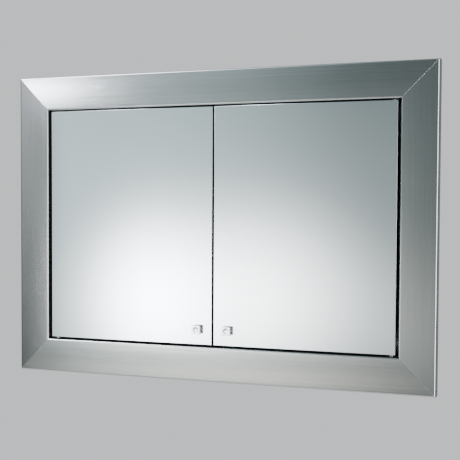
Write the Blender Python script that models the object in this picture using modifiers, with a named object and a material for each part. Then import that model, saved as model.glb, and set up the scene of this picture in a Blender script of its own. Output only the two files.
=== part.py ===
"""Wall-hung medicine cabinet with two pivoting mirror doors in a wide mitred frame.

Axes: +X right, +Y into the wall, +Z up.  The origin is the middle of the back
panel's rear face, which lies on the wall.  All lengths are metres.
"""
import math

import bmesh
import bpy
from mathutils import Matrix, Vector

# Overall frame and body
FRAME_WIDTH = 0.914
FRAME_HEIGHT = 0.640
FRAME_MEMBER = 0.072
FRAME_RETURN = 0.026
FRAME_SHEET = 0.0015
FRAME_BEND = 0.0022
INNER_LIP = 0.016
OUTER_LIP = 0.012
DEPTH = 0.126
OPENING_WIDTH = FRAME_WIDTH - 2 * FRAME_MEMBER
OPENING_HEIGHT = FRAME_HEIGHT - 2 * FRAME_MEMBER
BODY_SHEET = 0.0012
BODY_BEND = 0.0016
FRONT_FLANGE = 0.018
REAR_FLANGE = 0.012
BACK_SHEET = 0.0015
GAP = 0.0003
BEND_STEPS = 4
MITRE_OVERRUN = 0.010
BLANKED_EDGE = 0.0003
DRILL_LENGTH = 0.020
SHALLOW_DRILL = 0.008
PAN_DRILL_LENGTH = 0.004

# Doors
SIDE_GAP = 0.0065
TOP_GAP = 0.0030
BOTTOM_GAP = 0.0042
MIDDLE_GAP = 0.0040
DOOR_RECESS = 0.0030
DOOR_THICKNESS = 0.019
GLASS = 0.004
GLASS_CHAMFER = 0.0010
PAN_SHEET = 0.0010
PAN_INSET = 0.0020

# Pivot hinges
PIVOT_FROM_EDGE = 0.0090
PIVOT_FROM_FRONT = 0.0102
PIN_RADIUS = 0.0025
PIN_COLLAR_RADIUS = 0.0045
PIN_REACH = 0.0100
TIP_CHAMFER = 0.0005
BUSH_RADIUS = 0.0042
BUSH_FLANGE_RADIUS = 0.0056
BUSH_FLANGE = 0.0008
BUSH_LENGTH = 0.0125
BUSH_FLOOR = 0.0015
BUSH_BORE_RADIUS = 0.0028
PLATE = 0.0012
PLATE_WIDTH = 0.026
PLATE_FRONT = 0.0055
PLATE_LENGTH = 0.046
PLATE_SCREW_FROM_FRONT = 0.010
PLATE_SCREW_SPACING = 0.014
PLATE_HOLE_RADIUS = 0.0020
BUSH_SCREW_HEAD_RADIUS = 0.0028
BUSH_SCREW_HEAD = 0.0012
BUSH_SCREW_RADIUS = 0.00125
BUSH_SCREW_FROM_END = 0.0030

# Knobs
KNOB_FROM_EDGE = 0.0311
KNOB_FROM_BOTTOM = 0.0315
KNOB_SIZE = 0.018
KNOB_HEAD = 0.0070
KNOB_ROUND = 0.0009
KNOB_FOOT_RADIUS = 0.0062
KNOB_FOOT = 0.0024
KNOB_DISH_RADIUS = 0.0058
KNOB_DISH_DEPTH = 0.0008
KNOB_BORE = 0.0060
WASHER = 0.0006
WASHER_RADIUS = 0.0062
SCREW_RADIUS = 0.0020
SCREW_HEAD_RADIUS = 0.0040
SCREW_HEAD = 0.0022

# Magnetic catches and bumpers
CATCH_X = 0.045
CATCH_SIZE = (0.034, 0.0150, 0.018)
CATCH_ROUND = 0.0010
MAGNET_SIZE = (0.026, 0.0120, 0.009)
MAGNET_BELOW_TOP = 0.011
MAGNET_PROUD = 0.0004
STRIKE_SIZE = (0.030, 0.0012, 0.011)
BUMPER_X = 0.020
BUMPER_SIZE = (0.016, 0.0110, 0.010)
BUMPER_ROUND = 0.0012

# Shelves
SHELF_GLASS = 0.005
SHELF_ROUND = 0.0008
SHELF_END_GAP = 0.0030
SHELF_DEPTH = 0.088
SHELF_FROM_BACK = 0.008
CLIP_LEDGE = 0.011
CLIP_WIDTH = 0.012
CLIP_SHEET = 0.0022
CLIP_HEIGHT = 0.013
PEG_RADIUS = 0.0025
PEG_LENGTH = 0.0060
PEG_COLUMNS = (-0.083, -0.021)
PEG_PITCH = 0.032
PEG_ROWS = 10
SHELF_ROWS = {"lower_shelf": 2, "upper_shelf": 7}

# Frame corner keys and wall-screw holes
KEY_LEG = 0.058
KEY_WIDTH = 0.024
KEY_THICKNESS = 0.003
WALL_HOLE_RADIUS = 0.0035
WALL_HOLE_X = 0.2032
WALL_HOLE_Z = 0.200

FRONT = -DEPTH
DOOR_FRONT = FRONT + DOOR_RECESS
DOOR_REAR = DOOR_FRONT + DOOR_THICKNESS
DOOR_OUTER = OPENING_WIDTH / 2 - SIDE_GAP
DOOR_INNER = MIDDLE_GAP / 2
DOOR_TOP = OPENING_HEIGHT / 2 - TOP_GAP
DOOR_BOTTOM = -OPENING_HEIGHT / 2 + BOTTOM_GAP
PIVOT_X = DOOR_OUTER - PIVOT_FROM_EDGE
PIVOT_Y = DOOR_FRONT + PIVOT_FROM_FRONT
BODY_FRONT = FRONT + FRAME_RETURN + GAP

COLOURS = {
    "brushed_steel": ((0.56, 0.56, 0.55), 0.32, 1.0),
    "body_steel": ((0.60, 0.61, 0.61), 0.42, 1.0),
    "mirror": ((0.90, 0.93, 0.94), 0.02, 1.0),
    "door_steel": ((0.62, 0.63, 0.63), 0.38, 1.0),
    "chrome": ((0.80, 0.81, 0.82), 0.06, 1.0),
    "zinc": ((0.55, 0.56, 0.58), 0.35, 1.0),
    "nylon": ((0.82, 0.82, 0.79), 0.45, 0.0),
    "rubber": ((0.12, 0.12, 0.12), 0.70, 0.0),
    "magnet": ((0.16, 0.15, 0.15), 0.55, 0.0),
    "shelf_glass": ((0.72, 0.86, 0.80), 0.05, 0.0),
}


def clear_scene():
    for obj in list(bpy.data.objects):
        bpy.data.objects.remove(obj, do_unlink=True)


def new_collection(name):
    collection = bpy.data.collections.new(name)
    bpy.context.scene.collection.children.link(collection)
    return collection


clear_scene()
PARTS = new_collection("medicine_cabinet")
CUTTERS = new_collection("cutters")


def material(slot):
    """The Principled material of a slot, made once."""
    found = bpy.data.materials.get(slot)
    if found:
        return found
    colour, roughness, metallic = COLOURS[slot]
    made = bpy.data.materials.new(slot)
    made.use_nodes = True
    shader = made.node_tree.nodes["Principled BSDF"]
    shader.inputs["Base Color"].default_value = (*colour, 1.0)
    shader.inputs["Roughness"].default_value = roughness
    shader.inputs["Metallic"].default_value = metallic
    return made


def add_part(name, mesh, slot, location=(0, 0, 0), pivot=None):
    """Put a mesh in the parts collection at a world place, riding on a door pivot if given."""
    obj = bpy.data.objects.new(name, mesh)
    PARTS.objects.link(obj)
    if not mesh.materials:
        mesh.materials.append(material(slot))
    obj.location = location
    if pivot:
        obj.parent = pivot
        obj.location = Vector(location) - pivot.location
    return obj


def add_cutter(name, mesh, location=(0, 0, 0)):
    obj = bpy.data.objects.new(name, mesh)
    CUTTERS.objects.link(obj)
    obj.location = location
    obj.hide_render = True
    obj.display_type = "WIRE"
    return obj


def to_mesh(bm, name):
    mesh = bpy.data.meshes.new(name)
    bm.to_mesh(mesh)
    bm.free()
    return mesh


def smooth(mesh, angle=35):
    mesh.shade_smooth()
    mesh.set_sharp_from_angle(angle=math.radians(angle))
    return mesh


def block_mesh(name, size):
    """A cuboid about its own middle."""
    bm = bmesh.new()
    bmesh.ops.create_cube(bm, size=1)
    bmesh.ops.scale(bm, vec=size, verts=bm.verts)
    return to_mesh(bm, name)


AXIS_TURN = {
    "X": Matrix.Rotation(math.radians(90), 4, "Y"),
    "Y": Matrix.Rotation(math.radians(90), 4, "X"),
    "Z": Matrix.Identity(4),
}


def rods_mesh(name, centres, axis, radius, length, segments=16):
    """Equal round rods along one axis, about the given centres."""
    bm = bmesh.new()
    for centre in centres:
        bmesh.ops.create_cone(
            bm,
            cap_ends=True,
            segments=segments,
            radius1=radius,
            radius2=radius,
            depth=length,
            matrix=Matrix.Translation(centre) @ AXIS_TURN[axis],
        )
    return to_mesh(bm, name)


def combine(obj, other, operation):
    modifier = obj.modifiers.new(operation.lower(), "BOOLEAN")
    modifier.operation = operation
    modifier.solver = "EXACT"
    modifier.object = other
    return modifier


def drill(obj, centres, axis, radius, length, segments=16):
    """Cut equal round holes, given in world places."""
    mesh = rods_mesh(f"{obj.name}_holes", centres, axis, radius, length, segments)
    combine(obj, add_cutter(mesh.name, mesh), "DIFFERENCE")


def round_edges(obj, width, segments=2, angle=40):
    bevel = obj.modifiers.new("rounded_edges", "BEVEL")
    bevel.width = width
    bevel.segments = segments
    bevel.limit_method = "ANGLE"
    bevel.angle_limit = math.radians(angle)
    return bevel


def baked(obj):
    """The mesh of an object with its modifiers carried out; the object and its tools go."""
    graph = bpy.context.evaluated_depsgraph_get()
    graph.update()
    mesh = bpy.data.meshes.new_from_object(obj.evaluated_get(graph))
    mesh.name = obj.name
    for modifier in list(obj.modifiers):
        tool = getattr(modifier, "object", None)
        if tool:
            bpy.data.objects.remove(tool, do_unlink=True)
    bpy.data.objects.remove(obj, do_unlink=True)
    return mesh


def turned_mesh(name, profile, segments=16, ring=False):
    """A body of revolution about Z; profile is (radius, z), down the outer side.

    A ring's profile closes on itself, and any other's starts and ends on the axis.
    """
    bm = bmesh.new()
    points = [bm.verts.new((radius, 0, z)) for radius, z in profile]
    ends = points[1:] + points[:1] if ring else points[1:]
    for first, second in zip(points, ends):
        bm.edges.new((first, second))
    obj = add_cutter(name, to_mesh(bm, name))
    screw = obj.modifiers.new("turn", "SCREW")
    screw.steps = segments
    screw.render_steps = segments
    screw.use_merge_vertices = True
    screw.merge_threshold = 0.00001
    return smooth(baked(obj))


def bent_path(points, radius):
    """Round every inner corner of an open path with an arc."""
    path = [Vector(points[0])]
    for before, corner, after in zip(points, points[1:], points[2:]):
        corner = Vector(corner)
        back = (Vector(before) - corner).normalized()
        ahead = (Vector(after) - corner).normalized()
        half = back.angle(ahead) / 2
        centre = corner + (back + ahead).normalized() * radius / math.sin(half)
        start = (corner + back * radius / math.tan(half) - centre).normalized()
        end = (corner + ahead * radius / math.tan(half) - centre).normalized()
        for step in range(BEND_STEPS + 1):
            path.append(centre + radius * start.slerp(end, step / BEND_STEPS))
    path.append(Vector(points[-1]))
    return path


def cut_end(bm, point, outward):
    """Saw off what lies beyond a plane and close the cut."""
    geometry = bm.verts[:] + bm.edges[:] + bm.faces[:]
    bmesh.ops.bisect_plane(bm, geom=geometry, plane_co=point, plane_no=outward, clear_outer=True)
    rim = [edge for edge in bm.edges if edge.is_boundary]
    bmesh.ops.holes_fill(bm, edges=rim, sides=0)


SIDES = {
    "top": (-90, Vector((0, 0, OPENING_HEIGHT / 2)), OPENING_WIDTH / 2),
    "bottom": (90, Vector((0, 0, -OPENING_HEIGHT / 2)), OPENING_WIDTH / 2),
    "left": (180, Vector((-OPENING_WIDTH / 2, 0, 0)), OPENING_HEIGHT / 2),
    "right": (0, Vector((OPENING_WIDTH / 2, 0, 0)), OPENING_HEIGHT / 2),
}


def folded_member(name, side, points, bend, sheet, slot):
    """One side of a ring of folded sheet round the opening, mitred at both ends.

    The path is (distance outward from the opening, depth), and the sheet
    lies on the right-hand side of it.
    """
    turn, place, half_length = SIDES[side]
    reach = half_length + FRAME_MEMBER + MITRE_OVERRUN
    bm = bmesh.new()
    verts = [bm.verts.new((u, v, -reach)) for u, v in bent_path(points, bend)]
    edges = [bm.edges.new(pair) for pair in zip(verts, verts[1:])]
    grown = bmesh.ops.extrude_edge_only(bm, edges=edges)["geom"]
    far = [item for item in grown if isinstance(item, bmesh.types.BMVert)]
    bmesh.ops.translate(bm, verts=far, vec=(0, 0, 2 * reach))
    sheet_obj = add_cutter(name, to_mesh(bm, name))
    thicken = sheet_obj.modifiers.new("sheet", "SOLIDIFY")
    thicken.thickness = sheet
    thicken.offset = -1
    thicken.use_even_offset = True
    bm = bmesh.new()
    bm.from_mesh(baked(sheet_obj))
    corner = half_length - GAP / 2 * math.sqrt(2)
    cut_end(bm, (0, 0, corner), (-1, 0, 1))
    cut_end(bm, (0, 0, -corner), (-1, 0, -1))
    bmesh.ops.recalc_face_normals(bm, faces=bm.faces)
    obj = add_part(name, smooth(to_mesh(bm, name)), slot, place)
    obj.rotation_euler = (0, math.radians(turn), 0)
    return obj


def build_frame():
    rear = FRONT + FRAME_RETURN
    path = (
        (FRAME_MEMBER - OUTER_LIP, rear),
        (FRAME_MEMBER, rear),
        (FRAME_MEMBER, FRONT),
        (0, FRONT),
        (0, rear),
        (INNER_LIP, rear),
    )
    names = {"top": "frame_top_rail", "bottom": "frame_bottom_rail",
             "left": "frame_left_stile", "right": "frame_right_stile"}
    for side, name in names.items():
        folded_member(name, side, path, FRAME_BEND, FRAME_SHEET, "brushed_steel")


def build_corner_keys():
    """Flat angles that bridge the mitres inside the hollow frame."""
    middle = FRAME_MEMBER / 2
    outer = middle + KEY_WIDTH / 2
    inner = middle - KEY_WIDTH / 2
    outline = (
        (outer, outer),
        (outer - KEY_LEG, outer),
        (outer - KEY_LEG, inner),
        (inner, inner),
        (inner, outer - KEY_LEG),
        (outer, outer - KEY_LEG),
    )
    y = FRONT + FRAME_SHEET + GAP + KEY_THICKNESS / 2
    for row, up in (("top", 1), ("bottom", -1)):
        for column, right in (("left", -1), ("right", 1)):
            curve = bpy.data.curves.new(f"corner_key_{row}_{column}", "CURVE")
            curve.dimensions = "2D"
            curve.fill_mode = "BOTH"
            curve.extrude = KEY_THICKNESS / 2
            spline = curve.splines.new("POLY")
            spline.points.add(len(outline) - 1)
            for point, (x, z) in zip(spline.points, outline):
                point.co = (x * right, z * up, 0, 1)
            spline.use_cyclic_u = True
            key = add_part(curve.name, curve, "zinc")
            key.location = (right * OPENING_WIDTH / 2, y, up * OPENING_HEIGHT / 2)
            key.rotation_euler = (math.radians(90), 0, 0)


def peg_heights():
    return [(row - (PEG_ROWS - 1) / 2) * PEG_PITCH for row in range(PEG_ROWS)]


def build_body():
    rear = -BACK_SHEET - GAP - BODY_SHEET
    path = (
        (FRONT_FLANGE, BODY_FRONT),
        (0, BODY_FRONT),
        (0, rear),
        (-REAR_FLANGE, rear),
    )
    names = {"top": "top_panel", "bottom": "bottom_panel",
             "left": "left_side_panel", "right": "right_side_panel"}
    for side, name in names.items():
        panel = folded_member(name, side, path, BODY_BEND, BODY_SHEET, "body_steel")
        if side in ("left", "right"):
            x = SIDES[side][1].x
            centres = [(x, y, z) for y in PEG_COLUMNS for z in peg_heights()]
            drill(panel, centres, "X", PEG_RADIUS + GAP, DRILL_LENGTH, 12)

    size = (OPENING_WIDTH + 2 * BODY_SHEET, BACK_SHEET, OPENING_HEIGHT + 2 * BODY_SHEET)
    back = add_part("back_panel", block_mesh("back_panel", size), "body_steel",
                    (0, -BACK_SHEET / 2, 0))
    centres = [(x, 0, z) for x in (-WALL_HOLE_X, WALL_HOLE_X) for z in (-WALL_HOLE_Z, WALL_HOLE_Z)]
    drill(back, centres, "Y", WALL_HOLE_RADIUS, DRILL_LENGTH, 20)


def pan_mesh(name, size, sheet):
    """A tray whose open side faces the front (-Y)."""
    bm = bmesh.new()
    bmesh.ops.create_cube(bm, size=1)
    bmesh.ops.scale(bm, vec=size, verts=bm.verts)
    front = [face for face in bm.faces if face.normal.y < -0.5]
    bmesh.ops.delete(bm, geom=front, context="FACES_ONLY")
    obj = add_cutter(name, to_mesh(bm, name))
    thicken = obj.modifiers.new("sheet", "SOLIDIFY")
    thicken.thickness = sheet
    thicken.offset = -1
    thicken.use_even_offset = True
    round_edges(obj, sheet * 0.9, 2)
    return smooth(baked(obj))


def knob_mesh():
    """Square head with a shallow round dish, on a short round foot; the front is -Y."""
    obj = add_cutter("knob", block_mesh("knob", (KNOB_SIZE, KNOB_HEAD, KNOB_SIZE)))
    round_edges(obj, KNOB_ROUND, 3)
    foot = rods_mesh("foot", [(0, KNOB_HEAD / 2, 0)], "Y", KNOB_FOOT_RADIUS, 2 * KNOB_FOOT, 24)
    combine(obj, add_cutter("foot", foot), "UNION")
    sphere = (KNOB_DISH_RADIUS ** 2 + KNOB_DISH_DEPTH ** 2) / (2 * KNOB_DISH_DEPTH)
    bm = bmesh.new()
    bmesh.ops.create_uvsphere(bm, u_segments=24, v_segments=32, radius=sphere)
    bmesh.ops.rotate(bm, verts=bm.verts, cent=(0, 0, 0), matrix=AXIS_TURN["Y"])
    below = [vert for vert in bm.verts if vert.co.y < sphere * 0.85]
    bmesh.ops.delete(bm, geom=below, context="VERTS")
    rim = [edge for edge in bm.edges if edge.is_boundary]
    bmesh.ops.holes_fill(bm, edges=rim, sides=0)
    bmesh.ops.recalc_face_normals(bm, faces=bm.faces)
    centre = -KNOB_HEAD / 2 + KNOB_DISH_DEPTH - sphere
    combine(obj, add_cutter("dish", to_mesh(bm, "dish"), (0, centre, 0)), "DIFFERENCE")
    bore_length = KNOB_BORE * 2
    rear = KNOB_HEAD / 2 + KNOB_FOOT
    bore = rods_mesh("bore", [(0, rear, 0)], "Y", SCREW_RADIUS + GAP, bore_length, 16)
    combine(obj, add_cutter("bore", bore), "DIFFERENCE")
    mesh = smooth(baked(obj))
    mesh.transform(Matrix.Translation((0, -rear, 0)))
    return mesh


def build_door(side_name, side, knob):
    """One door about its pivot line; side is -1 for left and +1 for right."""
    pivot = bpy.data.objects.new(f"{side_name}_door_pivot", None)
    PARTS.objects.link(pivot)
    pivot.location = (side * PIVOT_X, PIVOT_Y, 0)
    bpy.context.view_layer.update()

    width = DOOR_OUTER - DOOR_INNER
    height = DOOR_TOP - DOOR_BOTTOM
    centre_x = side * (DOOR_OUTER + DOOR_INNER) / 2
    centre_z = (DOOR_TOP + DOOR_BOTTOM) / 2
    knob_x = side * (DOOR_INNER + KNOB_FROM_EDGE)
    knob_z = DOOR_BOTTOM + KNOB_FROM_BOTTOM

    mirror = add_part(f"{side_name}_mirror", block_mesh("mirror", (width, GLASS, height)),
                      "mirror", (centre_x, DOOR_FRONT + GLASS / 2, centre_z), pivot)
    round_edges(mirror, GLASS_CHAMFER, 1)
    drill(mirror, [(knob_x, DOOR_FRONT, knob_z)], "Y", SCREW_RADIUS + GAP, DRILL_LENGTH)

    pan_front = DOOR_FRONT + GLASS + GAP
    pan_depth = DOOR_REAR - pan_front
    size = (width - 2 * PAN_INSET, pan_depth, height - 2 * PAN_INSET)
    pan = add_part(f"{side_name}_door_pan", pan_mesh("pan", size, PAN_SHEET), "door_steel",
                   (centre_x, pan_front + pan_depth / 2, centre_z), pivot)
    drill(pan, [(knob_x, DOOR_REAR, knob_z)], "Y", SCREW_RADIUS + GAP, SHALLOW_DRILL)

    knob_rear = DOOR_FRONT - 2 * GAP - WASHER
    add_part(f"{side_name}_knob", knob, "chrome", (knob_x, knob_rear, knob_z), pivot)

    bore = SCREW_RADIUS + GAP
    section = ((bore, WASHER), (WASHER_RADIUS, WASHER), (WASHER_RADIUS, 0), (bore, 0))
    ring = turned_mesh("washer", section, 24, ring=True)
    ring.transform(AXIS_TURN["Y"])
    add_part(f"{side_name}_knob_washer", ring, "nylon", (knob_x, DOOR_FRONT - GAP, knob_z), pivot)

    reach = DOOR_REAR + GAP - knob_rear + KNOB_BORE - 2 * GAP
    screw = turned_mesh("knob_screw", (
        (0, SCREW_HEAD), (SCREW_HEAD_RADIUS * 0.55, SCREW_HEAD * 0.9),
        (SCREW_HEAD_RADIUS, SCREW_HEAD * 0.3), (SCREW_HEAD_RADIUS, 0),
        (SCREW_RADIUS, 0), (SCREW_RADIUS, -reach), (0, -reach)))
    screw.transform(Matrix.Rotation(math.radians(-90), 4, "X"))
    add_part(f"{side_name}_knob_screw", screw, "zinc", (knob_x, DOOR_REAR + GAP, knob_z), pivot)

    strike_z = OPENING_HEIGHT / 2 - MAGNET_BELOW_TOP
    strike = add_part(f"{side_name}_strike_plate", block_mesh("strike", STRIKE_SIZE), "zinc",
                      (side * CATCH_X, DOOR_REAR + GAP + STRIKE_SIZE[1] / 2, strike_z), pivot)
    round_edges(strike, BLANKED_EDGE, 1)

    for end, up in (("top", 1), ("bottom", -1)):
        build_pivot(side_name, side, end, up, pivot, pan)


def build_pivot(side_name, side, end, up, pivot, pan):
    """Pivot plate and pin on the cabinet, bush and its screw in the door's end."""
    name = f"{side_name}_{end}"
    x = side * PIVOT_X
    wall = up * OPENING_HEIGHT / 2
    door_end = DOOR_TOP if up > 0 else DOOR_BOTTOM
    pan_end = door_end - up * PAN_INSET
    flip = Matrix.Scale(1, 4) if up < 0 else Matrix.Rotation(math.radians(180), 4, "X")

    plate_x = side * (OPENING_WIDTH / 2 - GAP - PLATE_WIDTH / 2)
    plate_y = PIVOT_Y - PLATE_FRONT + PLATE_LENGTH / 2
    plate_z = wall - up * (GAP + PLATE / 2)
    plate = add_part(f"{name}_pivot_plate", block_mesh("plate", (PLATE_WIDTH, PLATE_LENGTH, PLATE)),
                     "zinc", (plate_x, plate_y, plate_z))
    round_edges(plate, BLANKED_EDGE, 1)
    screw_y = BODY_FRONT + PLATE_SCREW_FROM_FRONT
    holes = [(plate_x, screw_y, plate_z), (plate_x, screw_y + PLATE_SCREW_SPACING, plate_z)]
    drill(plate, [(x, PIVOT_Y, plate_z)], "Z", PIN_RADIUS + GAP, SHALLOW_DRILL, 24)
    drill(plate, holes, "Z", PLATE_HOLE_RADIUS, SHALLOW_DRILL)

    collar_start = PLATE + GAP
    bush_face = abs(wall - pan_end) - GAP - BUSH_FLANGE
    collar_end = bush_face - 2 * GAP
    pin_end = bush_face + PIN_REACH
    pin = turned_mesh("pin", (
        (0, pin_end), (PIN_RADIUS - TIP_CHAMFER, pin_end), (PIN_RADIUS, pin_end - TIP_CHAMFER),
        (PIN_RADIUS, collar_end), (PIN_COLLAR_RADIUS, collar_end),
        (PIN_COLLAR_RADIUS, collar_start), (PIN_RADIUS, collar_start), (PIN_RADIUS, 0), (0, 0)))
    pin.transform(flip)
    add_part(f"{name}_pivot_pin", pin, "zinc", (x, PIVOT_Y, wall - up * GAP))

    bush = turned_mesh("bush", (
        (0, BUSH_LENGTH), (BUSH_RADIUS - TIP_CHAMFER, BUSH_LENGTH),
        (BUSH_RADIUS, BUSH_LENGTH - TIP_CHAMFER), (BUSH_RADIUS, 0),
        (BUSH_FLANGE_RADIUS, 0), (BUSH_FLANGE_RADIUS, -BUSH_FLANGE),
        (BUSH_BORE_RADIUS, -BUSH_FLANGE), (BUSH_BORE_RADIUS, BUSH_LENGTH - BUSH_FLOOR),
        (0, BUSH_LENGTH - BUSH_FLOOR)))
    bush.transform(flip)
    add_part(f"{name}_pivot_bush", bush, "nylon", (x, PIVOT_Y, pan_end + up * GAP), pivot)
    drill(pan, [(x, PIVOT_Y, pan_end)], "Z", BUSH_RADIUS + GAP, SHALLOW_DRILL, 24)

    screw_z = door_end - up * (PAN_INSET + BUSH_SCREW_FROM_END)
    pan_side = DOOR_OUTER - PAN_INSET
    shank = pan_side + GAP - PIVOT_X - BUSH_RADIUS - GAP
    screw = turned_mesh("bush_screw", (
        (0, BUSH_SCREW_HEAD), (BUSH_SCREW_HEAD_RADIUS * 0.6, BUSH_SCREW_HEAD * 0.9),
        (BUSH_SCREW_HEAD_RADIUS, BUSH_SCREW_HEAD * 0.4), (BUSH_SCREW_HEAD_RADIUS, 0),
        (BUSH_SCREW_RADIUS, 0), (BUSH_SCREW_RADIUS, -shank), (0, -shank)))
    screw.transform(Matrix.Rotation(math.radians(90 * side), 4, "Y"))
    add_part(f"{name}_bush_screw", screw, "zinc",
             (side * (pan_side + GAP), PIVOT_Y, screw_z), pivot)
    drill(pan, [(side * pan_side, PIVOT_Y, screw_z)], "X", BUSH_SCREW_RADIUS + GAP, PAN_DRILL_LENGTH)


def build_catch(side_name, side):
    """Magnetic catch under the top panel and the bumper on the bottom panel."""
    x = side * CATCH_X
    strike_rear = DOOR_REAR + GAP + STRIKE_SIZE[1]
    magnet_front = strike_rear + GAP
    housing_front = magnet_front + MAGNET_PROUD
    housing_z = OPENING_HEIGHT / 2 - GAP - CATCH_SIZE[2] / 2
    housing = add_part(f"{side_name}_catch_housing", block_mesh("housing", CATCH_SIZE), "nylon",
                       (x, housing_front + CATCH_SIZE[1] / 2, housing_z))
    round_edges(housing, CATCH_ROUND, 2)
    magnet_z = OPENING_HEIGHT / 2 - MAGNET_BELOW_TOP
    magnet_y = magnet_front + MAGNET_SIZE[1] / 2
    pocket = [side_length + 2 * GAP for side_length in MAGNET_SIZE]
    cutter = add_cutter(f"{side_name}_pocket", block_mesh("pocket", pocket), (x, magnet_y, magnet_z))
    combine(housing, cutter, "DIFFERENCE")
    magnet = add_part(f"{side_name}_catch_magnet", block_mesh("magnet", MAGNET_SIZE), "magnet",
                      (x, magnet_y, magnet_z))
    round_edges(magnet, BLANKED_EDGE, 1)

    bumper_z = -OPENING_HEIGHT / 2 + GAP + BUMPER_SIZE[2] / 2
    bumper = add_part(f"{side_name}_door_bumper", block_mesh("bumper", BUMPER_SIZE), "rubber",
                      (side * BUMPER_X, DOOR_REAR + GAP + BUMPER_SIZE[1] / 2, bumper_z))
    round_edges(bumper, BUMPER_ROUND, 3)


def clip_mesh():
    """Shelf clip for the left side: leaf on the panel, ledge under the glass, peg outward (-X)."""
    ledge = Vector((CLIP_LEDGE / 2, 0, CLIP_HEIGHT / 2 - CLIP_SHEET / 2))
    obj = add_cutter("clip", block_mesh("clip", (CLIP_LEDGE, CLIP_WIDTH, CLIP_SHEET)), ledge)
    leaf = block_mesh("leaf", (CLIP_SHEET, CLIP_WIDTH, CLIP_HEIGHT))
    combine(obj, add_cutter("leaf", leaf, (CLIP_SHEET / 2, 0, 0)), "UNION")
    peg = rods_mesh("peg", [(-PEG_LENGTH / 2 + CLIP_SHEET / 2, 0, 0)], "X", PEG_RADIUS,
                    PEG_LENGTH + CLIP_SHEET, 16)
    combine(obj, add_cutter("peg", peg), "UNION")
    mesh = baked(obj)
    mesh.transform(Matrix.Translation(ledge))
    return smooth(mesh)


def build_shelves():
    clip = clip_mesh()
    width = OPENING_WIDTH - 2 * SHELF_END_GAP
    for name, row in SHELF_ROWS.items():
        peg_z = peg_heights()[row]
        shelf_z = peg_z + CLIP_HEIGHT / 2 + GAP + SHELF_GLASS / 2
        shelf = add_part(name, block_mesh(name, (width, SHELF_DEPTH, SHELF_GLASS)), "shelf_glass",
                         (0, -SHELF_FROM_BACK - SHELF_DEPTH / 2, shelf_z))
        round_edges(shelf, SHELF_ROUND, 2)
        for column, y in zip(("front", "back"), PEG_COLUMNS):
            for side_name, side in (("left", -1), ("right", 1)):
                place = (side * (OPENING_WIDTH / 2 - GAP), y, peg_z)
                obj = add_part(f"{name}_clip_{side_name}_{column}", clip, "chrome", place)
                obj.rotation_euler = (0, 0, 0 if side < 0 else math.pi)


def build():
    build_frame()
    build_corner_keys()
    build_body()
    build_shelves()
    knob = knob_mesh()
    for side_name, side in (("left", -1), ("right", 1)):
        build_door(side_name, side, knob)
        build_catch(side_name, side)


build()
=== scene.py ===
"""Looks of the two-door mirror cabinet: fine meshes, materials, floor, lights and camera.

Axes and metres are the frame's: +X right, +Y into the wall, +Z up, origin on the wall.
"""
import math

import bmesh
import bpy
from mathutils import Matrix, Vector


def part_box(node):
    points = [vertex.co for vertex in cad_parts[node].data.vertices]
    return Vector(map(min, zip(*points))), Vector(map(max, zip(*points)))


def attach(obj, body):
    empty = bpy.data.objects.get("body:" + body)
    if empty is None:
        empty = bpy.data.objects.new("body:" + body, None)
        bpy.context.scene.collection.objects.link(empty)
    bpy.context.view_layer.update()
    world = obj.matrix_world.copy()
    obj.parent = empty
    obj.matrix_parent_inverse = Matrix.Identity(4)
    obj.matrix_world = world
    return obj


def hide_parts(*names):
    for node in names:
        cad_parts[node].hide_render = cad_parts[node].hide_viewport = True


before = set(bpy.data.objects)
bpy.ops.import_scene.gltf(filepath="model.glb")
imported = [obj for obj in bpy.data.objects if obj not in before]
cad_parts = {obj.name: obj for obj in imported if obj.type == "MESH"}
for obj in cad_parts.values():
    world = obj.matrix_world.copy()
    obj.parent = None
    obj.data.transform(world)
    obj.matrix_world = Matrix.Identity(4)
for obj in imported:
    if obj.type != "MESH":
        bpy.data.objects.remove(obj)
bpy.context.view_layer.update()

# Folded frame sections
SHEET = 0.0015
INNER_BEND = 0.0028
OUTER_BEND = 0.0036
BEND_STEPS = 10
FACE_STEPS = 12
FACE_CROWN = 0.0014
FACE_SLOPE_INSIDE = 0.8
FACE_SLOPE_OUTSIDE = 4.0
INNER_LIP = 0.016
OUTER_LIP = 0.012
MITRE_GAP = 0.00012
MITRE_ROUND = 0.0005
MITRE_STEPS = 4
# Depth behind the front from which the inner returns and lips get the near-black painted shade
SHADE_PAINTED_FROM = 0.001

# Mirrors and knobs
ARRIS = 0.0010
ARRIS_STEPS = 6
BACKING_EDGE = 0.0004
KNOB_HEAD = 0.0070
KNOB_ROUND = 0.0009
KNOB_CORNER = 0.0012
KNOB_DISH_RADIUS = 0.0056
KNOB_DISH_DEPTH = 0.00022
KNOB_DISH_SHARES = (0.08, 0.25, 0.4, 0.55, 0.7, 0.85, 1.0)
KNOB_RIM = 0.0004
KNOB_RIM_LOWER = 0.3
KNOB_STEP = 0.0002
KNOB_FOOT_RADIUS = 0.0062
SIDE_POINTS = 8
EDGE_STEPS = 6

# Screws: shares of the head's radius or height
SCREW_POINTS = 48
RECESS_WIDTH = 0.17
RECESS_REACH = 0.60
RECESS_DEPTH = 0.62
RECESS_FLOOR_SHARES = (0.5, 0.92)
HEAD_CROWN = 0.30
HEAD_SHOULDER = 0.88
HEAD_EDGE = 0.35
HEAD_STEPS = 6
THREAD_DEPTH = 0.0002
THREAD_START = 0.25
# Head radius, head height, shank radius and thread pitch
KNOB_SCREW = (0.0040, 0.0022, 0.0020, 0.0007)
BUSH_SCREW = (0.0028, 0.0012, 0.00125, 0.0005)
PLATE_SCREW = (0.0030, 0.0013, 0.0017, 0.0006)
PLATE_SCREW_LENGTH = 0.0026
PLATE_SCREWS_FROM_REAR = (0.0034, 0.0174)
PLATE_SCREW_TURN = 25

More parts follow.
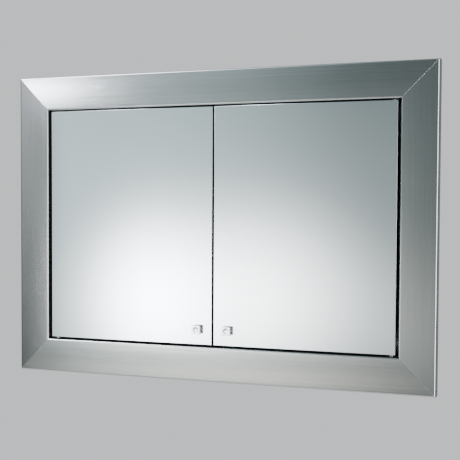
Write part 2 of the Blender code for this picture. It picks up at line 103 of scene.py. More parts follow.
# Floor and the plain colour seen behind the cabinet
FLOOR_RADIUS = 2.6
FLOOR_HEIGHT = -1.5
FLOOR_SEGMENTS = 96
BACKGROUND = (0.755, 0.767, 0.79)

# Soft light as bells about a direction: azimuth to the left of straight ahead, elevation,
# half-widths (degrees), then strength and colour. The places, widths and strengths of the
# first eight bells aren't a design: they are rounded from a least-squares fit, made by a
# separate script, to tones sampled from the photograph, and the names over them only say
# what each could be. All the colours and the last three bells were set one by one.
LIGHTS = (
    # big white diffuser, low in front: its bright middle and its wide skirt
    (25.6, -5.0, 2.8, 3.6, 7.9, (0.97, 0.98, 1.08)),
    (20.8, -4.9, 5.1, 4.0, 5.1, (0.97, 1.0, 1.03)),
    # its spill on a low table
    (21.7, -15.4, 8.2, 2.4, 2.2, (1.0, 1.0, 0.95)),
    # tall lamp high on the left, its lower rim and its spill on the ceiling
    (41.7, 43.0, 8.0, 19.0, 27.0, (0.94, 0.99, 1.12)),
    (33.2, 11.3, 2.0, 2.7, 26.0, (0.94, 0.99, 1.12)),
    (26.0, 33.0, 7.0, 12.0, 1.5, (0.80, 0.98, 1.30)),
    # faint bounce low on the right and along the horizon
    (11.8, -6.5, 19.8, 4.0, 0.51, (0.95, 1.0, 0.97)),
    (26.8, 1.0, 20.0, 6.8, 0.36, (0.88, 1.0, 1.02)),
    # tall diffuser on the right
    (-45.0, -4.0, 13.0, 24.0, 8.5, (1.0, 1.0, 1.0)),
    # two high windows at the sides
    (-100.0, 36.0, 24.0, 14.0, 3.0, (1.0, 1.0, 1.0)),
    (105.0, 36.0, 24.0, 14.0, 3.0, (1.0, 1.0, 1.0)),
)
# Dim room all round: darker to the right of ROOM_FROM, and shaded beyond SHADE_FROM. The
# seven numbers are rounded from the same fit, and the colour is given.
ROOM_COLOUR = (0.77, 1.0, 1.04)
ROOM_DARK = 0.18
ROOM_BRIGHT = 0.62
ROOM_FROM = 12.5
ROOM_TO = 27.0
SHADE_SHARE = 0.85
SHADE_FROM = 30.0
SHADE_WIDTH = 2.5
# Light from behind rises with the sine of its elevation, and a dark ceiling cuts the lamps
BEHIND = 1.3
BEHIND_COLOUR = (1.0, 1.0, 1.0)
BEHIND_HEIGHTS = (0.12, 0.50)
BEHIND_LOW_SHARE = 0.06
BEHIND_DEPTH = 0.5
ABOVE = 0.12
ABOVE_HEIGHTS = (0.6, 1.0)
CEILING_FROM = 42.0
CEILING_WIDTH = 14.0

# Camera from a least-squares perspective fit to the edges of the frame and the doors
CAMERA_PLACE = (0.7759, -2.0388, 0.0283)
CAMERA_YAW = math.radians(-21.07)
CAMERA_PITCH = math.radians(-2.42)
CAMERA_ROLL = math.radians(0.30)
LENS = 79.1
SENSOR = 36.0
SHIFT_UP = 0.0557


# ---------------------------------------------------------------- materials

class Shader:
    """A node material with one Principled shader, and short calls to build its textures."""

    def __init__(self, name, **values):
        self.material = bpy.data.materials.new(name)
        self.material.use_nodes = True
        self.tree = self.material.node_tree
        self.shader = self.tree.nodes["Principled BSDF"]
        for socket, value in values.items():
            self.shader.inputs[socket.replace("_", " ")].default_value = value
        self.place = self.add("ShaderNodeTexCoord").outputs["Object"]

    def add(self, kind, **settings):
        node = self.tree.nodes.new(kind)
        for key, value in settings.items():
            setattr(node, key, value)
        return node

    def link(self, source, target):
        self.tree.links.new(source, target)

    def stretched(self, scale):
        """Object coordinates multiplied by a scale along each axis."""
        mapping = self.add("ShaderNodeMapping")
        mapping.inputs["Scale"].default_value = scale
        self.link(self.place, mapping.inputs["Vector"])
        return mapping.outputs["Vector"]

    def noise(self, scale, detail=2.0, stretch=(1, 1, 1), rough=0.55):
        node = self.add("ShaderNodeTexNoise")
        node.inputs["Scale"].default_value = scale
        node.inputs["Detail"].default_value = detail
        node.inputs["Roughness"].default_value = rough
        self.link(self.stretched(stretch), node.inputs["Vector"])
        return node.outputs["Fac"]

    def remap(self, value, low, high, start=0.3, end=0.7):
        """Spread the range start to end of a texture over low to high."""
        node = self.add("ShaderNodeMapRange")
        node.inputs["From Min"].default_value = start
        node.inputs["From Max"].default_value = end
        node.inputs["To Min"].default_value = low
        node.inputs["To Max"].default_value = high
        self.link(value, node.inputs["Value"])
        return node.outputs["Result"]

    def combined(self, first, second, operation="ADD"):
        node = self.add("ShaderNodeMath", operation=operation)
        self.link(first, node.inputs[0])
        self.link(second, node.inputs[1])
        return node.outputs["Value"]

    def tint(self, value, dark, light):
        """Base colour that runs from dark to light with a texture."""
        node = self.add("ShaderNodeMix", data_type="RGBA")
        node.inputs["A"].default_value = (*dark, 1)
        node.inputs["B"].default_value = (*light, 1)
        self.link(value, node.inputs["Factor"])
        self.link(node.outputs["Result"], self.shader.inputs["Base Color"])

    def paint_shade_on_sides(self, share):
        """Painted shade: multiply the base colour by a share on faces that don't face the front
        or rear.
        """
        normal = self.add("ShaderNodeTexCoord").outputs["Normal"]
        split = self.add("ShaderNodeSeparateXYZ")
        self.link(normal, split.inputs[0])
        flat = self.add("ShaderNodeMath", operation="ABSOLUTE")
        self.link(split.outputs["Y"], flat.inputs[0])
        shade = self.remap(flat.outputs[0], share, 1.0, 0.3, 0.8)
        source = self.shader.inputs["Base Color"].links[0].from_socket
        scale = self.add("ShaderNodeVectorMath", operation="SCALE")
        self.link(source, scale.inputs[0])
        self.link(shade, scale.inputs["Scale"])
        self.link(scale.outputs[0], self.shader.inputs["Base Color"])

    def roughen(self, value):
        self.link(value, self.shader.inputs["Roughness"])

    def bump(self, height, distance, strength=1.0):
        node = self.add("ShaderNodeBump")
        node.inputs["Distance"].default_value = distance
        node.inputs["Strength"].default_value = strength
        self.link(height, node.inputs["Height"])
        self.link(node.outputs["Normal"], self.shader.inputs["Normal"])

    def tangent(self, direction):
        node = self.add("ShaderNodeCombineXYZ")
        for socket, value in zip(node.inputs, direction):
            socket.default_value = value
        self.link(node.outputs["Vector"], self.shader.inputs["Tangent"])


def stretch_along(axis, along, across):
    return tuple(along if letter == axis else across for letter in "XYZ")


def brushed_steel(name, axis, rough=(0.10, 0.16), anisotropy=0.4, colour=0.56):
    """Stainless steel with a fine straight grain along one axis."""
    made = Shader(name, Metallic=1.0, Anisotropic=anisotropy)
    fine = made.noise(1.0, 3.0, stretch_along(axis, 14, 5200), 0.7)
    hairline = made.noise(1.0, 2.0, stretch_along(axis, 5, 1300), 0.6)
    streak = made.noise(1.0, 2.0, stretch_along(axis, 1.6, 230), 0.6)
    cloud = made.noise(9.0, 3.0)
    grain = made.combined(made.remap(fine, 0, 0.6), made.remap(hairline, 0, 0.4))
    mottle = made.remap(cloud, -0.01, 0.01)
    low, high = rough
    made.roughen(made.combined(made.remap(grain, low, high, 0, 1), mottle))
    dark = (colour * 0.955, colour * 0.935, colour * 0.895)
    light = (colour * 1.065, colour * 1.045, colour * 1.00)
    made.tint(made.combined(grain, made.remap(streak, -0.32, 0.32)), dark, light)
    made.bump(grain, 0.000012)
    across = (1, 0, 0) if axis == "Z" else (0, 0, 1)
    made.tangent(across)
    return made.material


def satin_steel(name, axis, colour, painted_shade_sides=False):
    """Rolled sheet of the cabinet body and door pans; a pan's folded sides are painted near-black
    as painted shade.
    """
    made = Shader(name, Metallic=1.0)
    roll = made.noise(1.0, 3.0, stretch_along(axis, 10, 1500), 0.65)
    cloud = made.noise(14.0, 4.0)
    marks = made.remap(cloud, -0.025, 0.025)
    made.roughen(made.combined(made.remap(roll, 0.30, 0.46), marks))
    made.tint(roll, tuple(c * 0.93 for c in colour), tuple(c * 1.04 for c in colour))
    if painted_shade_sides:
        # painted shade: the pan's folded sides, seen in the gaps round the doors, drop to 0.05 of
        # the base colour
        made.paint_shade_on_sides(0.05)
    made.bump(roll, 0.00001)
    return made.material


def silvered_glass():
    """Mirror face: even silvering, faint wipe marks and the slight roll of float glass."""
    made = Shader("silvered_glass", Metallic=1.0)
    wipe = made.noise(1.0, 3.0, (22, 22, 5), 0.6)
    film = made.noise(6.0, 3.0)
    made.roughen(made.combined(made.remap(wipe, 0.0, 0.012), made.remap(film, 0.0, 0.012)))
    made.tint(film, (0.905, 0.925, 0.925), (0.925, 0.94, 0.94))
    return made.material


def glass_edge():
    """Seamed edge of the mirror glass: a finely ground, dark green surface."""
    made = Shader("seamed_glass_edge", IOR=1.52)
    grind = made.noise(1.0, 3.0, (900, 900, 900), 0.7)
    made.roughen(made.remap(grind, 0.12, 0.26))
    made.tint(grind, (0.012, 0.026, 0.022), (0.026, 0.048, 0.042))
    made.bump(grind, 0.00002)
    return made.material


def seamed_arris():
    """Polished rounded rim of the mirror, silvered behind."""
    made = Shader("polished_mirror_rim", Metallic=1.0)
    grind = made.noise(1.0, 3.0, (900, 900, 900), 0.7)
    made.roughen(made.remap(grind, 0.08, 0.20))
    made.tint(grind, (0.80, 0.88, 0.86), (0.90, 0.95, 0.94))
    made.bump(grind, 0.000004)
    return made.material


def sawn_steel():
    """Sawn and deburred mitre edges, duller than the brushed faces."""
    made = Shader("sawn_steel_edge", Metallic=1.0)
    cut = made.noise(1.0, 3.0, (1800, 1800, 1800), 0.7)
    made.roughen(made.remap(cut, 0.42, 0.58))
    made.tint(cut, (0.46, 0.46, 0.45), (0.58, 0.58, 0.57))
    made.bump(cut, 0.00001)
    return made.material


def painted_shade_steel():
    """Dull steel of the frame's inner returns and lips, coloured near-black as painted shade in
    the gaps round the doors.
    """
    made = Shader("returns_painted_shade_steel", Metallic=0.85)
    scale = made.noise(900.0, 4.0)
    made.roughen(made.remap(scale, 0.45, 0.62))
    made.tint(scale, (0.045, 0.047, 0.046), (0.075, 0.078, 0.075))
    made.bump(scale, 0.00002)
    return made.material


def backing_paint():
    """Grey protective paint on the back of the silvering."""
    made = Shader("mirror_backing_paint", Specular_IOR_Level=0.35)
    orange_peel = made.noise(420.0, 3.0)
    made.roughen(made.remap(orange_peel, 0.48, 0.66))
    made.tint(made.noise(30.0, 4.0), (0.15, 0.17, 0.17), (0.20, 0.22, 0.215))
    made.bump(orange_peel, 0.00003)
    return made.material


def chrome():
    """Bright plating with the finest wiping scratches."""
    made = Shader("chrome_plate", Metallic=1.0)
    scratch = made.noise(1.0, 3.0, (2600, 2600, 160), 0.7)
    made.roughen(made.remap(scratch, 0.03, 0.11))
    made.tint(made.noise(160.0, 3.0), (0.74, 0.76, 0.78), (0.82, 0.83, 0.84))
    made.bump(scratch, 0.000003)
    return made.material


def zinc():
    """Bright zinc plating with its faint bluish cloud."""
    made = Shader("zinc_plate", Metallic=1.0)
    cloud = made.noise(210.0, 4.0, rough=0.65)
    made.roughen(made.remap(cloud, 0.24, 0.42))
    made.tint(made.noise(90.0, 3.0), (0.52, 0.54, 0.58), (0.66, 0.66, 0.66))
    made.bump(cloud, 0.00002)
    return made.material


def painted_shade_zinc():
    """Zinc of the pivot plates, coloured near-black as painted shade in the gaps round the doors;
    slightly iridescent and rubbed.
    """
    made = Shader("zinc_plate_painted_shade", Metallic=0.9)
    cloud = made.noise(260.0, 4.0, rough=0.65)
    made.roughen(made.remap(cloud, 0.32, 0.50))
    made.tint(made.noise(120.0, 3.0), (0.035, 0.037, 0.040), (0.075, 0.075, 0.072))
    made.bump(cloud, 0.00002)
    return made.material


def nylon():
    """Moulded natural nylon with a fine spark-eroded texture."""
    made = Shader("natural_nylon", Subsurface_Weight=0.12, Subsurface_Scale=0.002)
    grain = made.noise(1900.0, 2.0)
    made.roughen(made.remap(grain, 0.38, 0.55))
    made.tint(made.noise(60.0, 3.0), (0.74, 0.73, 0.68), (0.82, 0.81, 0.77))
    made.bump(grain, 0.00003)
    return made.material


def rubber():
    """Soft black rubber of the door bumpers, with faint random dust."""
    made = Shader("soft_black_rubber", Specular_IOR_Level=0.3)
    dust = made.noise(700.0, 4.0)
    made.roughen(made.remap(dust, 0.62, 0.85))
    made.tint(dust, (0.028, 0.028, 0.030), (0.060, 0.060, 0.062))
    made.bump(dust, 0.00004)
    return made.material


def ferrite():
    """Pressed and sintered magnet, dark and slightly sparkling."""
    made = Shader("sintered_ferrite", Metallic=0.35)
    grit = made.noise(2600.0, 3.0, rough=0.75)
    made.roughen(made.remap(grit, 0.42, 0.64))
    made.tint(grit, (0.045, 0.042, 0.042), (0.11, 0.105, 0.10))
    made.bump(grit, 0.00003)
    return made.material


def shelf_glass():
    """Clear float glass with a pale green body colour."""
    made = Shader("clear_shelf_glass", IOR=1.52, Transmission_Weight=1.0)
    smear = made.noise(18.0, 4.0)
    made.roughen(made.remap(smear, 0.0, 0.035))
    made.tint(smear, (0.84, 0.95, 0.91), (0.90, 0.97, 0.94))
    return made.material


MATERIALS = {
    "rail_steel": brushed_steel("brushed_steel_rails", "X"),
    "stile_steel": brushed_steel("brushed_steel_stiles", "Z"),
    "wall_steel": satin_steel("body_sheet_upright", "Z", (0.60, 0.61, 0.61)),
    "flat_steel": satin_steel("body_sheet_level", "X", (0.60, 0.61, 0.61)),
    # the door pans' folded sides carry painted shade, near-black
    "door_steel": satin_steel("door_pan_sheet", "Z", (0.62, 0.63, 0.63), painted_shade_sides=True),
    "mirror": silvered_glass(),
    "painted_shade_steel": painted_shade_steel(),
    "sawn_steel": sawn_steel(),
    "glass_edge": glass_edge(),
    "arris": seamed_arris(),
    "backing": backing_paint(),
    "chrome": chrome(),
    "zinc": zinc(),
    "painted_shade_zinc": painted_shade_zinc(),
    "nylon": nylon(),
    "rubber": rubber(),
    "magnet": ferrite(),
    "shelf_glass": shelf_glass(),
}

FINISH_OF_SLOT = {
    "zinc": "zinc",
    "nylon": "nylon",
    "rubber": "rubber",
    "magnet": "magnet",
    "chrome": "chrome",
    "shelf_glass": "shelf_glass",
    "door_steel": "door_steel",
}

FINISH_OF_NODE = {
    "back_panel": "flat_steel",
    "top_panel": "flat_steel",
    "bottom_panel": "flat_steel",
    "left_side_panel": "wall_steel",
    "right_side_panel": "wall_steel",
    # the pivot plates take the near-black painted-shade zinc
    "left_top_pivot_plate": "painted_shade_zinc",
    "left_bottom_pivot_plate": "painted_shade_zinc",
    "right_top_pivot_plate": "painted_shade_zinc",
    "right_bottom_pivot_plate": "painted_shade_zinc",
}


def dress_cad_nodes():
    """Give each carried-over CAD node, whose material is named for its slot, a procedural one."""
    for name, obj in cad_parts.items():
        slot = obj.data.materials[0].name
        finish = FINISH_OF_NODE.get(name) or FINISH_OF_SLOT.get(slot)
        if finish:
            obj.data.materials[0] = MATERIALS[finish]


# ------------------------------------------------------------------- meshes

def add_object(name, bm, finishes, body, angle=35):
    """Turn a bmesh into a smooth-shaded piece that rides on a body."""
    mesh = bpy.data.meshes.new(name)
    bmesh.ops.recalc_face_normals(bm, faces=bm.faces)
    bm.to_mesh(mesh)
    bm.free()
    for finish in finishes:
        mesh.materials.append(MATERIALS[finish])
    mesh.shade_smooth()
    mesh.set_sharp_from_angle(angle=math.radians(angle))
    obj = bpy.data.objects.new(name, mesh)
    bpy.context.scene.collection.objects.link(obj)
    even = obj.modifiers.new("even_normals", "WEIGHTED_NORMAL")
    even.keep_sharp = True
    even.weight = 100
    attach(obj, body)
    return obj


def bridge(bm, rings, closed=True):
    """Quads between successive rings of the same number of points."""
    for first, second in zip(rings, rings[1:]):
        count = len(first)
        for i in range(count if closed else count - 1):
            j = (i + 1) % count
            bm.faces.new((first[i], first[j], second[j], second[i]))


def side_normal(start, end):
    """Direction to the right of a straight stretch of a section's path."""
    along = (end - start).normalized()
    return Vector((along.y, -along.x))


def rounded_skin(corners, radii):
    """Points and right-hand normals along an open path; a corner with a radius is an arc."""
    corners = [Vector(corner) for corner in corners]
    skin = [(corners[0], side_normal(corners[0], corners[1]))]
    for before, corner, after, radius in zip(corners, corners[1:], corners[2:], radii[1:]):
        first = side_normal(before, corner)
        second = side_normal(corner, after)
        if not radius:
            skin.append((corner, (first + second).normalized()))
            continue
        turn = first.angle_signed(second)
        reach = radius * math.tan(abs(turn) / 2)
        centre = corner + (before - corner).normalized() * reach + first * radius
        for step in range(BEND_STEPS + 1):
            normal = first.copy()
            normal.rotate(Matrix.Rotation(-turn * step / BEND_STEPS, 2))
            skin.append((centre - normal * radius, normal))
    skin.append((corners[-1], side_normal(corners[-2], corners[-1])))
    return skin


def frame_skin():
    """Outer skin of a frame member: (distance outward from the opening, depth) and normals.

    The visible face is crowned: it stands slightly proud inside and falls back outside.
    """
    low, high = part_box("frame_right_stile")
    width = high.x - low.x
    inside = math.tan(math.radians(FACE_SLOPE_INSIDE))
    outside = math.tan(math.radians(FACE_SLOPE_OUTSIDE))
    corners = [(width - OUTER_LIP, high.y), (width, high.y)]
    radii = [0, OUTER_BEND]
    for step in range(FACE_STEPS, -1, -1):
        u = width * step / FACE_STEPS
        fall = inside * u + (outside - inside) * u * u / (2 * width)
        corners.append((u, low.y - FACE_CROWN + fall))
        radii.append(0)
    radii[2] = OUTER_BEND
    radii[-1] = INNER_BEND
    corners += [(0.0, high.y), (INNER_LIP, high.y)]
    radii += [INNER_BEND, 0]
    return rounded_skin(corners, radii)


def member_section(near, far):
    """Closed section of a frame member between two depths below its outer skin."""
    skin = frame_skin()
    outer = [point + normal * near for point, normal in skin]
    inner = [point + normal * far for point, normal in skin]
    return outer + inner[::-1]


def mitre_levels():
    """Distance back from the mitre and depth below the skin, round the sawn edge."""
    levels = []
    for step in range(MITRE_STEPS + 1):
        angle = math.tau / 4 * step / MITRE_STEPS
        levels.append((MITRE_ROUND * (1 - math.cos(angle)), MITRE_ROUND * (1 - math.sin(angle))))
    return levels


def build_member(name, turn, half_opening, opening, finish):
    """One mitred side of the frame; turn is its angle round the opening from the right stile."""
    bm = bmesh.new()
    rings = []
    ends = [(-1, back, near) for back, near in mitre_levels()]
    ends += [(1, back, near) for back, near in reversed(mitre_levels())]
    for end, back, near in ends:
        section = member_section(near, SHEET)
        rings.append([bm.verts.new((opening + u, y, end * (half_opening + u - MITRE_GAP - back)))
                      for u, y in section])
    bridge(bm, rings)
    for ring in (rings[0], rings[-1]):
        bm.faces.new(ring)
    # faces of the inner return and lips set back from the front get the near-black painted-shade
    # steel (index 1)
    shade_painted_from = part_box(name)[0].y + SHADE_PAINTED_FROM
    lip_end = opening + INNER_LIP
    for face in bm.faces:
        places = [vert.co for vert in face.verts]
        spans = max(co.z for co in places) - min(co.z for co in places)
        if all(co.y > shade_painted_from and co.x < lip_end for co in places):
            face.material_index = 1
        elif spans < opening:
            face.material_index = 2
    bm.transform(Matrix.Rotation(math.radians(turn), 4, "Y"))
    obj = add_object(f"visual_{name}", bm, [finish, "painted_shade_steel", "sawn_steel"], "cabinet",
                     30)
    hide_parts(name)


def build_frame():
    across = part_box("frame_right_stile")[0].x
    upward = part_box("frame_top_rail")[0].z
    build_member("frame_right_stile", 0, upward, across, "stile_steel")
    build_member("frame_left_stile", 180, upward, across, "stile_steel")
    build_member("frame_top_rail", -90, across, upward, "rail_steel")
    build_member("frame_bottom_rail", 90, across, upward, "rail_steel")


def build_mirror(side):
    """Silvered pane with seamed edges and painted back."""
    name = f"{side}_mirror"
    low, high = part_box(name)
    middle = (low + high) / 2
    half = (high - low) / 2
    bm = bmesh.new()
    levels = [(ARRIS * (1 - math.sin(angle)), low.y + ARRIS * (1 - math.cos(angle)))
              for angle in (math.tau / 4 * step / ARRIS_STEPS for step in range(ARRIS_STEPS + 1))]
    levels += [(0.0, high.y - BACKING_EDGE), (BACKING_EDGE, high.y)]
    rings = []
    for inset, y in levels:
        x, z = half.x - inset, half.z - inset
        corners = ((-x, -z), (x, -z), (x, z), (-x, z))
        rings.append([bm.verts.new((middle.x + cx, y, middle.z + cz)) for cx, cz in corners])
    bridge(bm, rings)
    front = bm.faces.new(rings[0])
    back = bm.faces.new(rings[-1])
    for face in bm.faces:
        seamed = max(vert.co.y for vert in face.verts) < low.y + ARRIS * 1.01
        face.material_index = 3 if seamed else 1
    front.material_index = 0
    back.material_index = 2
    obj = add_object(f"visual_{name}", bm, ["mirror", "glass_edge", "backing", "arris"],
                     f"{side}_door", 40)
    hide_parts(name)


def square_outline(half, corner):
    """Points round a square with rounded corners, the same number on each side and arc."""
    points = []
    for quarter in range(4):
        turn = Matrix.Rotation(math.tau / 4 * quarter, 2)
        straight = half - corner
        for step in range(SIDE_POINTS):
            points.append(turn @ Vector((half, -straight + 2 * straight * step / SIDE_POINTS)))
        for step in range(SIDE_POINTS):
            angle = math.tau / 4 * step / SIDE_POINTS
            points.append(turn @ Vector((straight + corner * math.cos(angle),
                                         straight + corner * math.sin(angle))))
    return points


def build_knob(side):
    """Square chrome head with rounded edges, a dished disc in its face and a round foot."""
    name = f"{side}_knob"
    low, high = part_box(name)
    middle = (low + high) / 2
    half = (high.x - low.x) / 2
    head_rear = low.y + KNOB_HEAD
    directions = [point.normalized() for point in square_outline(half, KNOB_CORNER)]
    bm = bmesh.new()
    rings = []

    def add_ring(points, y):
        rings.append([bm.verts.new((middle.x + x, y, middle.z + z)) for x, z in points])

    def add_circle(radius, y):
        add_ring([direction * radius for direction in directions], y)

    def add_edge_round(y, radius, ahead):
        """Quarter-round edge of the head; ahead is +1 at its front and -1 at its back."""
        steps = range(EDGE_STEPS + 1) if ahead > 0 else range(EDGE_STEPS, -1, -1)
        for step in steps:
            angle = math.tau / 4 * step / EDGE_STEPS
            inset = radius * (1 - math.sin(angle))
            outline = square_outline(half - inset, KNOB_CORNER)
            add_ring(outline, y + ahead * radius * (1 - math.cos(angle)))

    for share in KNOB_DISH_SHARES:
        depth = KNOB_DISH_DEPTH * (1 - share * share)
        add_circle(KNOB_DISH_RADIUS * share, low.y + depth + KNOB_STEP)
    add_circle(KNOB_DISH_RADIUS + KNOB_RIM * KNOB_RIM_LOWER, low.y + KNOB_STEP / 2)
    add_circle(KNOB_DISH_RADIUS + KNOB_RIM, low.y)
    add_edge_round(low.y, KNOB_ROUND, 1)
    add_edge_round(head_rear, KNOB_ROUND / 2, -1)
    add_circle(KNOB_FOOT_RADIUS + KNOB_STEP, head_rear)
    add_circle(KNOB_FOOT_RADIUS, head_rear + KNOB_STEP)
    add_circle(KNOB_FOOT_RADIUS, high.y - KNOB_STEP)
    add_circle(KNOB_FOOT_RADIUS - KNOB_STEP, high.y)
    bridge(bm, rings)
    for end in (rings[0], rings[-1]):
        bm.faces.new(end)
    obj = add_object(f"visual_{name}", bm, ["chrome"], f"{side}_door", 42)
    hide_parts(name)


def cross_reach(angle, width, reach):
    """Distance from the middle to the outline of a cross, in a direction."""
    off_axis = abs((angle + math.tau / 8) % (math.tau / 4) - math.tau / 8)
    return min(reach, width / max(math.sin(off_axis), 1e-6))


def screw_mesh(size, length):
    """Pan-head screw along -Z with a cross recess; the underside of its head is at z = 0."""
    head_radius, head, shank_radius, pitch = size
    bm = bmesh.new()
    rings = []
    angles = [math.tau * step / SCREW_POINTS for step in range(SCREW_POINTS)]

    def add_ring(reach_of, z):
        rings.append([bm.verts.new((reach_of(angle) * math.cos(angle),
                                    reach_of(angle) * math.sin(angle), z)) for angle in angles])

    def crown(radius):
        return head * (1 - HEAD_CROWN * (radius / head_radius) ** 2)

    def add_circle(radius, z=None):
        add_ring(lambda angle: radius, crown(radius) if z is None else z)

    recess = head * (1 - RECESS_DEPTH)
    width, reach = head_radius * RECESS_WIDTH, head_radius * RECESS_REACH
    for share in RECESS_FLOOR_SHARES:
        add_ring(lambda angle: share * cross_reach(angle, width, reach), recess)
    add_ring(lambda angle: cross_reach(angle, width, reach), crown(reach))
    shoulder = HEAD_SHOULDER * head_radius
    for step in range(1, HEAD_STEPS + 1):
        add_circle(reach + (shoulder - reach) * step / HEAD_STEPS)
    edge = crown(shoulder) * HEAD_EDGE
    for step in range(1, HEAD_STEPS + 1):
        turn = math.tau / 4 * step / HEAD_STEPS
        radius = head_radius * (HEAD_SHOULDER + (1 - HEAD_SHOULDER) * math.sin(turn))
        add_circle(radius, edge + (crown(shoulder) - edge) * math.cos(turn))
    add_circle(head_radius, 0)
    add_circle(shank_radius, 0)
    for thread in range(int(length / pitch)):
        top = -pitch * (thread + THREAD_START)
        add_circle(shank_radius, top)
        add_circle(shank_radius - THREAD_DEPTH, top - pitch / 2)
    add_circle(shank_radius - THREAD_DEPTH, -length)
    bridge(bm, rings)
    for end in (rings[0], rings[-1]):
        bm.faces.new(end)
    return bm


def build_door_screw(name, side, size, turn, axis, middle, seat, length):
    """A screw in place of a door's CAD screw, turned from -Z about an axis."""
    bm = screw_mesh(size, length)
    place = Vector(middle)
    place[0 if axis == "Y" else 1] = seat
    bm.transform(Matrix.Translation(place) @ Matrix.Rotation(math.radians(turn), 4, axis))
    obj = add_object(f"visual_{name}", bm, ["zinc"], f"{side}_door")
    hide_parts(name)


def build_screws():
    """Screws of the knobs and bushes in the doors, and of the pivot plates in the cabinet."""
    for side, outward in (("left", -1), ("right", 1)):
        name = f"{side}_knob_screw"
        low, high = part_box(name)
        seat = high.y - KNOB_SCREW[1]
        build_door_screw(name, side, KNOB_SCREW, -90, "X", (low + high) / 2, seat, seat - low.y)
        for end, up in (("top", 1), ("bottom", -1)):
            name = f"{side}_{end}_bush_screw"
            low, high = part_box(name)
            outer, tip = (high.x, low.x) if outward > 0 else (low.x, high.x)
            seat = outer - outward * BUSH_SCREW[1]
            build_door_screw(name, side, BUSH_SCREW, 90 * outward, "Y", (low + high) / 2,
                             seat, abs(seat - tip))
            low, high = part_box(f"{side}_{end}_pivot_plate")
            face = low.z if up > 0 else high.z
            flip = Matrix.Rotation(math.radians(180 if up > 0 else 0), 4, "X")
            for number, from_rear in enumerate(PLATE_SCREWS_FROM_REAR, 1):
                bm = screw_mesh(PLATE_SCREW, PLATE_SCREW_LENGTH)
                place = Matrix.Translation(((low.x + high.x) / 2, high.y - from_rear, face))
                twist = Matrix.Rotation(math.radians(PLATE_SCREW_TURN * number), 4, "Z")
                bm.transform(place @ flip @ twist)
                # the plate screws take the same near-black painted-shade zinc
                add_object(f"{side}_{end}_plate_screw_{number}", bm, ["painted_shade_zinc"],
                           "cabinet")


# ------------------------------------------------------- floor, lights, camera

def build_floor():
    """Plain pale floor, well below the wall-hung cabinet."""
    bm = bmesh.new()
    bmesh.ops.create_circle(bm, cap_ends=True, segments=FLOOR_SEGMENTS, radius=FLOOR_RADIUS)
    mesh = bpy.data.meshes.new("floor")
    bm.to_mesh(mesh)
    bm.free()
    made = Shader("pale_floor", Specular_IOR_Level=0.2)
    speck = made.noise(40.0, 3.0)
    made.roughen(made.remap(speck, 0.7, 0.85))
    made.tint(speck, (0.72, 0.72, 0.72), (0.76, 0.76, 0.76))
    mesh.materials.append(made.material)
    floor = bpy.data.objects.new("floor", mesh)
    floor.location = (0, 0, FLOOR_HEIGHT)
    bpy.context.scene.collection.objects.link(floor)


class WorldNodes:
    """Adds lobes of light to the world by direction."""

    def __init__(self):
        world = bpy.data.worlds.new("studio")
        bpy.context.scene.world = world
        world.use_nodes = True
        self.tree = world.node_tree
        self.background = self.tree.nodes["Background"]
        place = self.tree.nodes.new("ShaderNodeTexCoord")
        split = self.tree.nodes.new("ShaderNodeSeparateXYZ")
        self.tree.links.new(place.outputs["Generated"], split.inputs[0])
        x, y, z = split.outputs
        self.azimuth = self.math("ARCTAN2", self.math("MULTIPLY", x, -1.0),
                                 self.math("MULTIPLY", y, -1.0))
        self.elevation = self.math("ARCSINE", z)
        self.height = z
        self.depth = y

    def math(self, operation, first, second=None):
        node = self.tree.nodes.new("ShaderNodeMath")
        node.operation = operation
        for socket, value in zip(node.inputs, (first, second)):
            if value is None:
                continue
            if isinstance(value, (int, float)):
                socket.default_value = value
            else:
                self.tree.links.new(value, socket)
        return node.outputs[0]

    def ramp(self, value, start, end, low, high):
        node = self.tree.nodes.new("ShaderNodeMapRange")
        node.interpolation_type = "SMOOTHSTEP"
        for socket, number in zip(list(node.inputs)[1:5], (start, end, low, high)):
            socket.default_value = number
        self.tree.links.new(value, node.inputs[0])
        return node.outputs[0]

    def lobe(self, azimuth, elevation, wide, tall):
        """A bell of height 1 about a direction, in degrees."""
        across = self.math("DIVIDE", self.math("SUBTRACT", self.azimuth, math.radians(azimuth)),
                           math.radians(wide))
        up = self.math("DIVIDE", self.math("SUBTRACT", self.elevation, math.radians(elevation)),
                       math.radians(tall))
        square = self.math("ADD", self.math("MULTIPLY", across, across),
                           self.math("MULTIPLY", up, up))
        return self.math("EXPONENT", self.math("MULTIPLY", square, -1.0))

    def coloured(self, value, colour, strength):
        """A light value times a colour."""
        node = self.tree.nodes.new("ShaderNodeVectorMath")
        node.operation = "SCALE"
        node.inputs[0].default_value = tuple(channel * strength for channel in colour)
        self.tree.links.new(value, node.inputs["Scale"])
        return node.outputs[0]

    def added(self, first, second):
        node = self.tree.nodes.new("ShaderNodeVectorMath")
        node.operation = "ADD"
        self.tree.links.new(first, node.inputs[0])
        self.tree.links.new(second, node.inputs[1])
        return node.outputs[0]


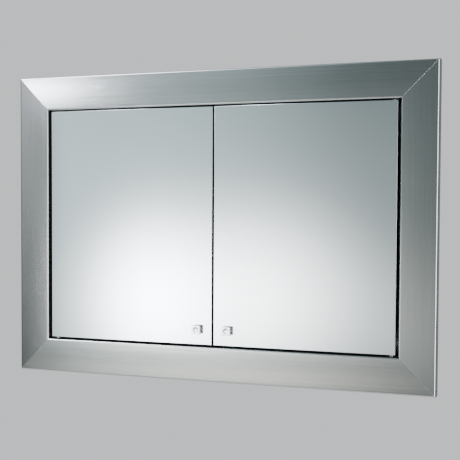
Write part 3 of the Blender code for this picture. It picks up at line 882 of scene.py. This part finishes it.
def build_world():
    world = WorldNodes()
    room = world.ramp(world.azimuth, math.radians(ROOM_FROM), math.radians(ROOM_TO),
                      ROOM_DARK, ROOM_BRIGHT)
    shade = world.ramp(world.azimuth, math.radians(SHADE_FROM),
                       math.radians(SHADE_FROM + SHADE_WIDTH), 1.0, 1.0 - SHADE_SHARE)
    front = world.math("MULTIPLY", room, shade)
    behind = world.math("MULTIPLY", world.ramp(world.depth, 0.0, BEHIND_DEPTH, 0.0, BEHIND),
                        world.ramp(world.height, *BEHIND_HEIGHTS, BEHIND_LOW_SHARE, 1.0))
    above = world.ramp(world.height, *ABOVE_HEIGHTS, 0.0, ABOVE)
    plain = world.coloured(world.math("ADD", front, above), ROOM_COLOUR, 1.0)
    sky = world.added(plain, world.coloured(behind, BEHIND_COLOUR, 1.0))
    ceiling = world.ramp(world.elevation, math.radians(CEILING_FROM),
                         math.radians(CEILING_FROM + CEILING_WIDTH), 1.0, 0.0)
    for azimuth, elevation, wide, tall, strength, colour in LIGHTS:
        bell = world.math("MULTIPLY", world.lobe(azimuth, elevation, wide, tall), ceiling)
        sky = world.added(sky, world.coloured(bell, colour, strength))
    lit = world.tree.nodes.new("ShaderNodeMix")
    lit.data_type = "RGBA"
    path = world.tree.nodes.new("ShaderNodeLightPath")
    world.tree.links.new(path.outputs["Is Camera Ray"], lit.inputs["Factor"])
    world.tree.links.new(sky, lit.inputs["A"])
    lit.inputs["B"].default_value = (*BACKGROUND, 1)
    world.tree.links.new(lit.outputs["Result"], world.background.inputs["Color"])


def build_camera():
    data = bpy.data.cameras.new("camera")
    data.lens = LENS
    data.sensor_width = SENSOR
    data.shift_y = SHIFT_UP
    camera = bpy.data.objects.new("camera", data)
    bpy.context.scene.collection.objects.link(camera)
    ahead = Vector((math.sin(CAMERA_YAW) * math.cos(CAMERA_PITCH),
                    math.cos(CAMERA_YAW) * math.cos(CAMERA_PITCH),
                    math.sin(CAMERA_PITCH)))
    level = Vector((math.cos(CAMERA_YAW), -math.sin(CAMERA_YAW), 0))
    up = level.cross(ahead)
    right = level * math.cos(CAMERA_ROLL) + up * math.sin(CAMERA_ROLL)
    top = up * math.cos(CAMERA_ROLL) - level * math.sin(CAMERA_ROLL)
    turn = Matrix((right, top, -ahead)).transposed()
    camera.matrix_world = Matrix.Translation(CAMERA_PLACE) @ turn.to_4x4()
    bpy.context.scene.camera = camera


def build():
    dress_cad_nodes()
    build_frame()
    for side in ("left", "right"):
        build_mirror(side)
        build_knob(side)
    build_screws()
    build_floor()
    build_world()
    build_camera()


build()
